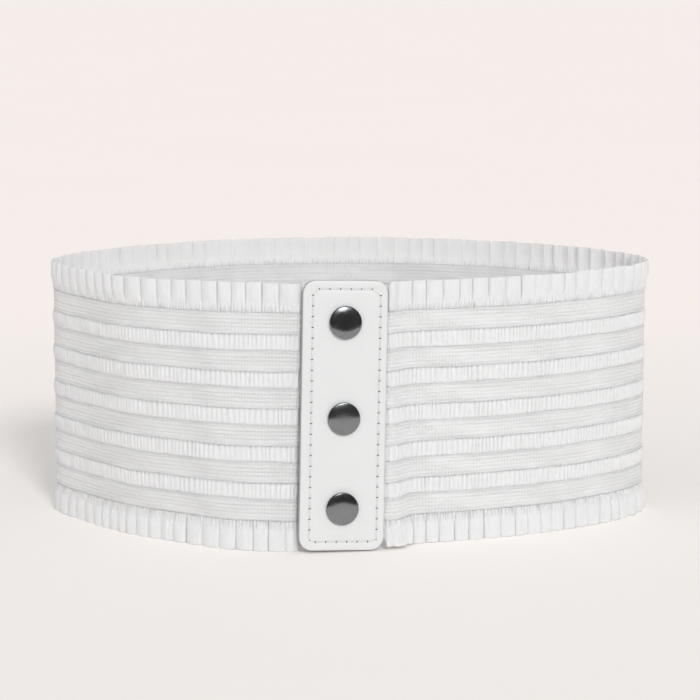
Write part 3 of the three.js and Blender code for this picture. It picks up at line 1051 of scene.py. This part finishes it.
def gathered_cloth():
    def build(n, shader):
        cloth = cloth_map(n)
        weave = n.group(thread_group(), Vector=cloth, Across=2600.0, Along=2600.0)
        white = colour(web_colour(), 0.985)
        tone = n.group(cloud_group(), Vector=cloth, Scale=110.0, Amount=0.03, Color=white)
        # The pinholes between the threads are painted darker, as painted shade
        shade = n.mix(n.maths("MULTIPLY", weave["Pinhole shade"], 0.15), tone["Color"], colour(web_colour(), 0.65))
        n.feed(shader["Base Color"], shade)
        creases = n.noise(n.vector("MULTIPLY", cloth, (1600, 160, 1)), 1.0, 2.0)
        soft = n.bump(creases, 0.0002, 0.6)
        n.feed(shader["Normal"], n.bump(weave["Height"], 0.00007, 0.5, soft))
        n.feed(shader["Roughness"], n.remap(tone["Tone"], -1, 1, 0.66, 0.8))

    return finish("Gathered cloth", build, 0.72, **soft_white(1.3 * MM, 0.05), Specular_IOR_Level=0.3)


def elastic_cloth():
    def build(n, shader):
        cloth = cloth_map(n)
        u, v, _ = n.split(cloth)
        rib_pitch, cord_pitch = 1.455 * MM, 1.3 * MM
        wander = n.noise(n.vector("MULTIPLY", cloth, (120, 300, 1)), 1.0, 2.0)
        column = n.maths("ADD", n.maths("MULTIPLY", u, 1 / cord_pitch), n.maths("MULTIPLY", wander, 0.9))
        cords = n.maths("ABSOLUTE", n.maths("SINE", n.maths("MULTIPLY", column, math.pi)))
        ribs = n.maths("ABSOLUTE", n.maths("SINE", n.maths("MULTIPLY", v, math.pi / rib_pitch)))
        cord_gap = n.remap(cords, 0.05, 0.45, 1, 0)
        rib_gap = n.remap(ribs, 0.05, 0.8, 1, 0)
        # The grid's grooves, with their painted shade and their bump, show more in some places than in others
        spread = n.noise(n.vector("MULTIPLY", cloth, (45, 120, 1)), 1.0, 2.0)
        row_spread = n.noise(n.vector("MULTIPLY", cloth, (25, 420, 1)), 1.0, 2.0)
        patch = n.remap(spread, 0.4, 0.62, 0.1, 1.0)
        row_patch = n.remap(row_spread, 0.38, 0.62, 0.35, 1.0)
        rows, cords_shown = n.maths("MULTIPLY", rib_gap, row_patch), n.maths("MULTIPLY", cord_gap, patch)
        grooves_shade_and_bump = n.maths("ADD", n.maths("MULTIPLY", rows, 0.9), n.maths("MULTIPLY", cords_shown, 1.0))
        weave = n.group(thread_group(), Vector=cloth, Across=2300.0, Along=2800.0)
        white = colour(web_colour(), 1.02)
        tone = n.group(cloud_group(), Vector=cloth, Scale=80.0, Amount=0.03, Color=white)
        # The pinholes between the threads are painted darker, as painted shade
        base = n.mix(n.maths("MULTIPLY", weave["Pinhole shade"], 0.18), tone["Color"], colour(web_colour(), 0.6))
        # The grooves between ribs and between cords are painted darker, as painted shade; the same grooves
        # also make the bump
        n.feed(shader["Base Color"], n.mix(n.maths("MULTIPLY", grooves_shade_and_bump, 0.22), base, colour(web_colour(), 0.5)))
        n.feed(shader["Roughness"], n.remap(tone["Tone"], -1, 1, 0.7, 0.85))
        height = n.maths("SUBTRACT", 1.0, grooves_shade_and_bump)
        deep = n.bump(height, 0.0003, 0.9)
        n.feed(shader["Normal"], n.bump(weave["Height"], 0.00008, 0.6, deep))

    return finish("Woven elastic", build, 0.78, **soft_white(4 * MM, 0.1), Specular_IOR_Level=0.3)


def grain_group():
    """Fine pebbled leatherette: small cells with shallow creases between them, and those creases as a mask
    for painted shade.
    """
    name = "Leather grain"
    if name in bpy.data.node_groups:
        return bpy.data.node_groups[name]
    group, ins, outs = effect_group(
        name,
        [("Vector", "NodeSocketVector", None), ("Scale", "NodeSocketFloat", 1500.0)],
        [("Height", "NodeSocketFloat"), ("Crease shade", "NodeSocketFloat")],
    )
    n = Nodes(group)
    wobble = n.add("ShaderNodeTexNoise")
    n.feed(wobble.inputs["Vector"], ins.outputs["Vector"])
    wobble.inputs["Scale"].default_value = 900.0
    aside = n.vector("MULTIPLY", wobble.outputs["Color"], (0.0004,) * 3)
    shifted = n.vector("ADD", ins.outputs["Vector"], aside)
    cells = n.add("ShaderNodeTexVoronoi", feature="DISTANCE_TO_EDGE")
    n.feed(cells.inputs["Vector"], shifted)
    n.feed(cells.inputs["Scale"], ins.outputs["Scale"])
    creases = n.remap(cells.outputs["Distance"], 0.0, 0.12, 1, 0)
    n.feed(outs.inputs["Height"], n.maths("SUBTRACT", 1.0, creases))
    n.feed(outs.inputs["Crease shade"], creases)
    return group


def leatherette():
    def build(n, shader):
        where = n.add("ShaderNodeTexCoord").outputs["Object"]
        white = colour(bpy.context.scene.belt_closure.leather_colour)
        tone = n.group(cloud_group(), Vector=where, Scale=70.0, Amount=0.012, Color=white)
        grain = n.group(grain_group(), Vector=where, Scale=1700.0)
        # The grain's creases are painted darker, as painted shade
        shade = n.mix(n.maths("MULTIPLY", grain["Crease shade"], 0.07), tone["Color"], (0.5, 0.48, 0.46, 1))
        n.feed(shader["Base Color"], shade)
        n.feed(shader["Roughness"], n.remap(tone["Tone"], -1, 1, 0.36, 0.46))
        n.feed(shader["Normal"], n.bump(grain["Height"], 0.00003, 0.55))

    coat = {"Coat_Weight": 0.08, "Coat_Roughness": 0.35}
    return finish("White leatherette", build, 0.42, Specular_IOR_Level=0.45, **coat)


# The cut edges and the filling between the layers are grey as painted shade, for the tab's side and the gap
# between its layers in shadow
def edge_painted_shade():
    def build(n, shader):
        where = n.add("ShaderNodeTexCoord").outputs["Object"]
        tone = n.group(cloud_group(), Vector=where, Scale=900.0, Amount=0.12, Color=(0.5, 0.494, 0.494, 1))
        n.feed(shader["Base Color"], tone["Color"])
        n.feed(shader["Normal"], n.bump(n.noise(where, 4000.0), 0.0001, 0.6))

    return finish("Cut edge painted shade", build, 0.9)


# The needle holes are only shallow dents; their near-black colour is painted shade for a deep hole
def needle_hole_painted_shade():
    def build(n, shader):
        where = n.add("ShaderNodeTexCoord").outputs["Object"]
        tone = n.group(cloud_group(), Vector=where, Scale=2000.0, Amount=0.3, Color=(0.17, 0.168, 0.17, 1))
        n.feed(shader["Base Color"], tone["Color"])

    return finish("Needle hole painted shade", build, 0.95)


def sewing_thread():
    def build(n, shader):
        where = n.add("ShaderNodeTexCoord").outputs["Object"]
        white = colour(bpy.context.scene.belt_closure.leather_colour, 1.02)
        twist = n.add("ShaderNodeTexWave", bands_direction="DIAGONAL")
        n.feed(twist.inputs["Vector"], where)
        twist.inputs["Scale"].default_value = 900.0
        shade = n.mix(n.maths("MULTIPLY", twist.outputs["Fac"], 0.2), white, (0.6, 0.6, 0.62, 1))
        n.feed(shader["Base Color"], shade)
        n.feed(shader["Normal"], n.bump(twist.outputs["Fac"], 0.0001, 0.6))

    return finish("White thread", build, 0.6, Sheen_Weight=0.1)


def gunmetal():
    def build(n, shader):
        where = n.add("ShaderNodeTexCoord").outputs["Object"]
        grey = colour(bpy.context.scene.belt_closure.metal_colour)
        tone = n.group(cloud_group(), Vector=where, Scale=180.0, Amount=0.06, Color=grey)
        n.feed(shader["Base Color"], tone["Color"])
        n.feed(shader["Roughness"], n.remap(tone["Tone"], -1, 1, 0.1, 0.16))
        scratches = n.noise(n.vector("MULTIPLY", where, (300, 2500, 2500)), 1.0, 3.0)
        n.feed(shader["Normal"], n.bump(scratches, 0.000004, 0.5))

    return finish("Gunmetal", build, 0.12, Metallic=1.0)


# The stage

CAMERA_SPOT = (0.0003, -1.0742, 0.2283)
CAMERA_DIP = 0.1508

# Azimuth and elevation of the two broad lights, in degrees
KEY_WAY = (14.5, 28)
FILL_WAY = (-42, 28)


def soft_light(name, location, size, power):
    """A rectangular light that looks at the middle of the belt."""
    data = bpy.data.lights.new(name, "AREA")
    data.shape = "RECTANGLE"
    data.size, data.size_y = size
    data.energy = power
    light = bpy.data.objects.new(name, data)
    light.location = location
    aim = Vector((0, 0, 0.05)) - Vector(location)
    light.rotation_euler = aim.to_track_quat("-Z", "Y").to_euler()
    bpy.context.scene.collection.objects.link(light)


def broad_light(name, azimuth, elevation, strength, softness):
    """Even light from one side; azimuth 0 is the camera's side and 90 is +X, in degrees."""
    data = bpy.data.lights.new(name, "SUN")
    data.energy = strength
    data.angle = softness
    light = bpy.data.objects.new(name, data)
    a, e = math.radians(azimuth), math.radians(elevation)
    way = Vector((math.sin(a) * math.cos(e), -math.cos(a) * math.cos(e), math.sin(e)))
    light.rotation_euler = (-way).to_track_quat("-Z", "Y").to_euler()
    bpy.context.scene.collection.objects.link(light)


def stage_sheet(name, bm, material):
    """A bmesh becomes a flat sheet with one material, for the stage."""
    mesh = bpy.data.meshes.new(name)
    bm.to_mesh(mesh)
    bm.free()
    mesh.materials.append(material)
    sheet = bpy.data.objects.new(name, mesh)
    bpy.context.scene.collection.objects.link(sheet)
    return sheet


class BELT_OT_stage(bpy.types.Operator):
    """Lays the pale floor and sets the soft lights and the camera"""

    bl_idname = "belt.stage"
    bl_label = "Set the stage"

    def execute(self, context):
        stage = context.scene.belt_stage
        self.floor(stage)
        self.lights(stage)
        self.camera(stage)
        context.scene.view_settings.view_transform = "Standard"
        return {"FINISHED"}

    @staticmethod
    def floor(stage):
        bm = bmesh.new()
        bmesh.ops.create_grid(bm, x_segments=2, y_segments=2, size=12)

        def build(n, shader):
            where = n.add("ShaderNodeTexCoord").outputs["Object"]
            back = n.remap(n.split(where)[1], 0.12, 0.6, 0, 1)
            pale = n.mix(back, colour(stage.floor_colour), colour(stage.distance_colour))
            tone = n.group(cloud_group(), Vector=where, Scale=3.0, Amount=0.004, Color=pale)
            n.feed(shader["Base Color"], tone["Color"])
            # The floor glows a little, as painted light, and more so at the back
            near, far = colour(stage.floor_colour, 0.055), colour(stage.distance_colour, 0.11)
            n.feed(shader["Emission Color"], n.mix(back, near, far))

        pale_floor = finish("Pale floor", build, 0.9, Specular_IOR_Level=0.1, Emission_Strength=1.0)
        floor = stage_sheet("floor", bm, pale_floor)

    @staticmethod
    def lights(stage):
        world = bpy.data.worlds.new("Even light")
        world.use_nodes = True
        n = Nodes(world.node_tree)
        background = world.node_tree.nodes["Background"]
        seen = n.add("ShaderNodeLightPath").outputs["Is Camera Ray"]
        light = colour((1, 1, 1), stage.sky_strength)
        n.feed(background.inputs["Color"], n.mix(seen, light, colour(stage.horizon_colour)))
        bpy.context.scene.world = world
        broad_light("Key light", *KEY_WAY, stage.key_strength, stage.key_softness)
        broad_light("Fill light", *FILL_WAY, stage.fill_strength, math.radians(70))
        soft_light("Glint light", (0.43, -1.2, 0.7), (0.42, 0.08), stage.glint_power)
        # A dark card behind the camera that only polished metal sees
        bm = bmesh.new()
        bmesh.ops.create_grid(bm, x_segments=1, y_segments=1, size=0.5)
        bmesh.ops.scale(bm, vec=(5, 2.2, 1), verts=bm.verts)
        bmesh.ops.rotate(bm, cent=(0, 0, 0), matrix=Matrix.Rotation(math.pi / 2, 3, "X"), verts=bm.verts)
        bmesh.ops.translate(bm, vec=(0, -1.3, 1.1), verts=bm.verts)

        def build(n, shader):
            n.feed(shader["Base Color"], (0.11, 0.11, 0.11, 1))

        card = stage_sheet("dark_card", bm, finish("Dark card", build, 1.0, Specular_IOR_Level=0.0))
        card.visible_camera = card.visible_diffuse = card.visible_shadow = False

    @staticmethod
    def camera(stage):
        data = bpy.data.cameras.new("camera")
        data.lens = stage.lens
        data.sensor_width = 36
        camera = bpy.data.objects.new("camera", data)
        camera.location = CAMERA_SPOT
        camera.rotation_euler = (math.pi / 2 - CAMERA_DIP, 0, 0)
        bpy.context.scene.collection.objects.link(camera)
        bpy.context.scene.camera = camera


class BELT_PT_maker(bpy.types.Panel):
    """The belt's settings and steps, in the order in which they are run"""

    bl_idname = "BELT_PT_maker"
    bl_label = "Elastic stretch belt"
    bl_space_type = "VIEW_3D"
    bl_region_type = "UI"
    bl_category = "Belt"

    def draw(self, context):
        layout = self.layout
        for settings in (context.scene.belt_web, context.scene.belt_closure, context.scene.belt_stage):
            box = layout.box()
            for key in settings.__annotations__:
                box.prop(settings, key)
        for operator in OPERATORS:
            layout.operator(operator.bl_idname)


OPERATORS = (
    BELT_OT_elastic_stripes,
    BELT_OT_gathered_stripes,
    BELT_OT_ruffles,
    BELT_OT_tabs,
    BELT_OT_stitching,
    BELT_OT_snaps,
    BELT_OT_stage,
)
SETTINGS = {"belt_web": BELT_PG_web, "belt_closure": BELT_PG_closure, "belt_stage": BELT_PG_stage}


def register():
    for settings in SETTINGS.values():
        bpy.utils.register_class(settings)
    for key, settings in SETTINGS.items():
        setattr(bpy.types.Scene, key, bpy.props.PointerProperty(type=settings))
    for operator in OPERATORS:
        bpy.utils.register_class(operator)
    bpy.utils.register_class(BELT_PT_maker)


def unregister():
    bpy.utils.unregister_class(BELT_PT_maker)
    for operator in reversed(OPERATORS):
        bpy.utils.unregister_class(operator)
    for key in SETTINGS:
        delattr(bpy.types.Scene, key)
    for settings in reversed(SETTINGS.values()):
        bpy.utils.unregister_class(settings)


def main():
    register()
    bpy.ops.belt.elastic_stripes()
    bpy.ops.belt.gathered_stripes()
    bpy.ops.belt.ruffles()
    bpy.ops.belt.tabs()
    bpy.ops.belt.stitching()
    bpy.ops.belt.snaps()
    bpy.ops.belt.stage()


if __name__ == "__main__":
    main()
